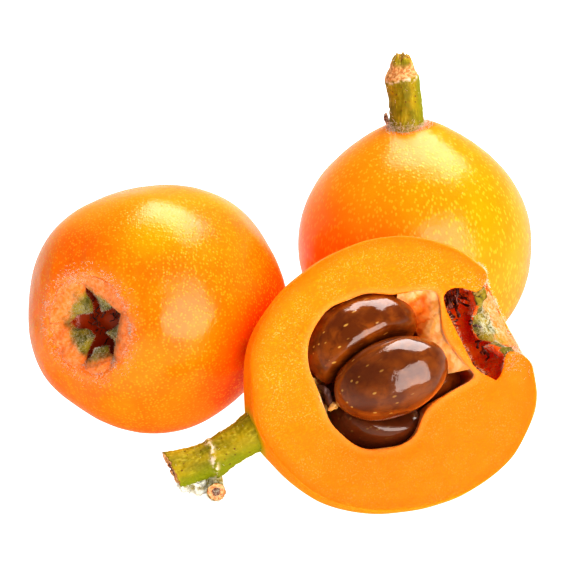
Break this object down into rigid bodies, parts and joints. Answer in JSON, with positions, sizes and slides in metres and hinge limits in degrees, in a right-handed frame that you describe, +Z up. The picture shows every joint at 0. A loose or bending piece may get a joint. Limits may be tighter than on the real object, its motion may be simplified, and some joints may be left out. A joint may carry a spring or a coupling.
{
  "type": "loquat cluster",
  "caption": "Loquat cluster: whole ripe loquats resting against a lengthwise-cut loquat that shows its glossy seeds and calyx hollow, all with cut stems.",
  "frame": {"origin": "middle of the cluster's footprint, on the table that it rests on", "axes": "+Z up; +X to the right and +Y away as the cut face is looked at"},
  "size_m": [0.089, 0.0826, 0.0553],
  "materials": {
    "skin": "ripe orange fruit skin with a soft gloss, fine pale dots and fuzz at the calyx and stem",
    "cut_flesh": "moist cut orange flesh with sparkling juice cells, and skin on the outside",
    "seed_coat": "wet glossy brown seed coat with tan flecks",
    "membrane": "moist pale papery membrane",
    "sepal": "leathery green sepal under grey felt",
    "dried_bits": "dry brown flower remains",
    "stem_bark": "yellow-green young bark with brown specks and tan cut ends"
  },
  "bodies": {
    "root": {"cut_flesh": "cut_flesh", "cut_stem": "stem_bark", "cut_seed_front": "seed_coat", "cut_seed_upper": "seed_coat", "cut_seed_lower": "seed_coat", "cut_seed_right": "seed_coat", "cut_membrane_upper": "membrane", "cut_membrane_ridge": "membrane", "cut_membrane_flap": "membrane", "cut_membrane_left": "membrane", "cut_aborted_seed": "dried_bits", "cut_sepal_upper": "sepal", "cut_sepal_middle": "sepal", "cut_sepal_lower": "sepal", "cut_stamens": "dried_bits", "left_flesh": "skin", "left_sepal_1": "sepal", "left_sepal_2": "sepal", "left_sepal_3": "sepal", "left_sepal_4": "sepal", "left_sepal_5": "sepal", "left_stamens": "dried_bits", "left_stem": "stem_bark", "rear_flesh": "skin", "rear_sepal_1": "sepal", "rear_sepal_2": "sepal", "rear_sepal_3": "sepal", "rear_sepal_4": "sepal", "rear_sepal_5": "sepal", "rear_stamens": "dried_bits", "rear_stem": "stem_bark", "rear_bract": "dried_bits"}
  },
  "joints": []
}
